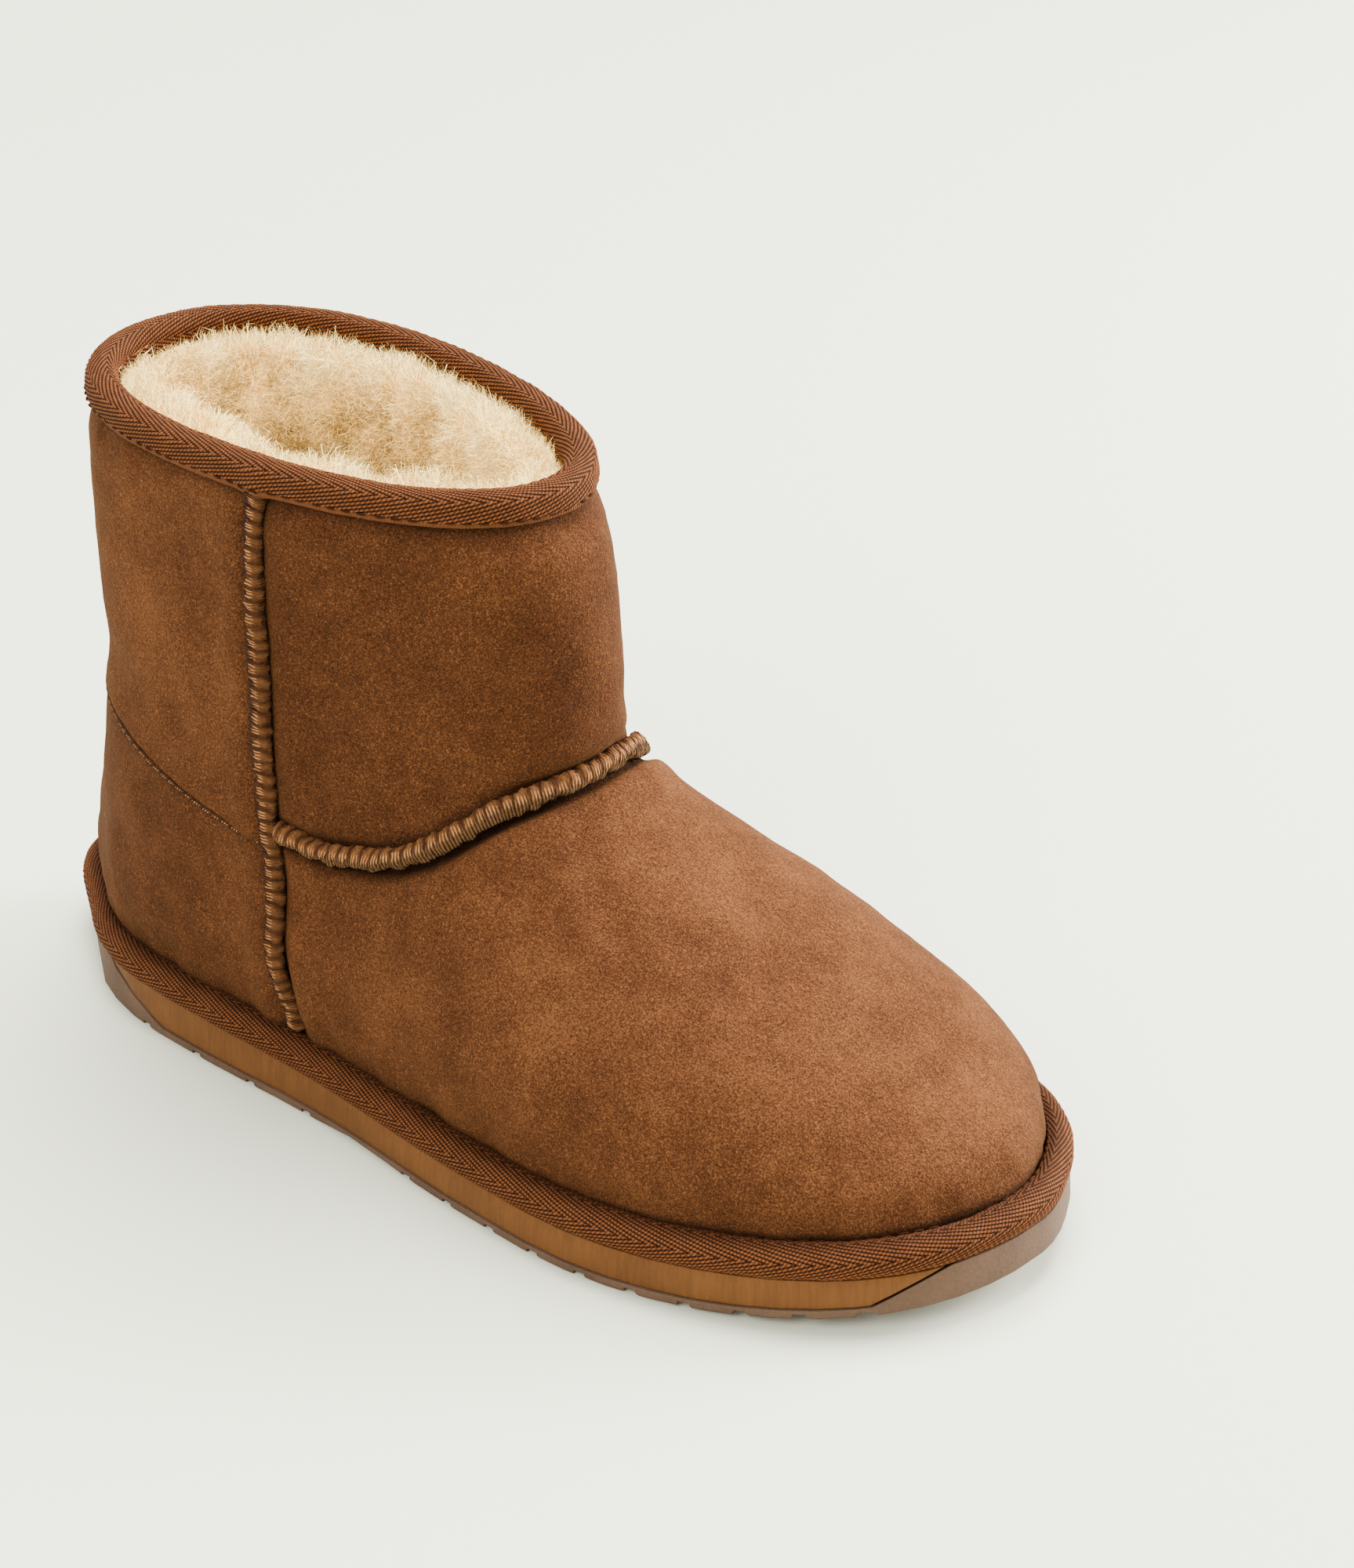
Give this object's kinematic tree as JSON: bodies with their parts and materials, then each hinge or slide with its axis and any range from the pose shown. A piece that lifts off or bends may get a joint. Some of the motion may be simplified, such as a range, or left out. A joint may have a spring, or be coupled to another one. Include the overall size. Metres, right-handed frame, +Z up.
{
  "type": "sheepskin boot",
  "caption": "Low pull-on sheepskin ankle boot for the right foot: hollow fleece-lined upper, woven binding tapes, foam midsole and rubber outsole.",
  "frame": {"origin": "under the middle of the boot's box, on the floor", "axes": "+X towards the toe, +Y towards the inner side of the foot, +Z up"},
  "size_m": [0.2768, 0.1094, 0.1534],
  "materials": {
    "rubber": "tan moulded rubber, matt",
    "foam": "ochre brown foam with a fine upright brush",
    "fleece": "cream sheep fleece",
    "suede": "chestnut suede with a fine mottled nap",
    "tape": "herringbone twill tape, orange brown"
  },
  "bodies": {
    "root": {"outsole": "rubber", "midsole": "foam", "insole": "fleece", "upper": "suede", "welt_binding": "tape", "collar_binding": "tape"}
  },
  "joints": []
}
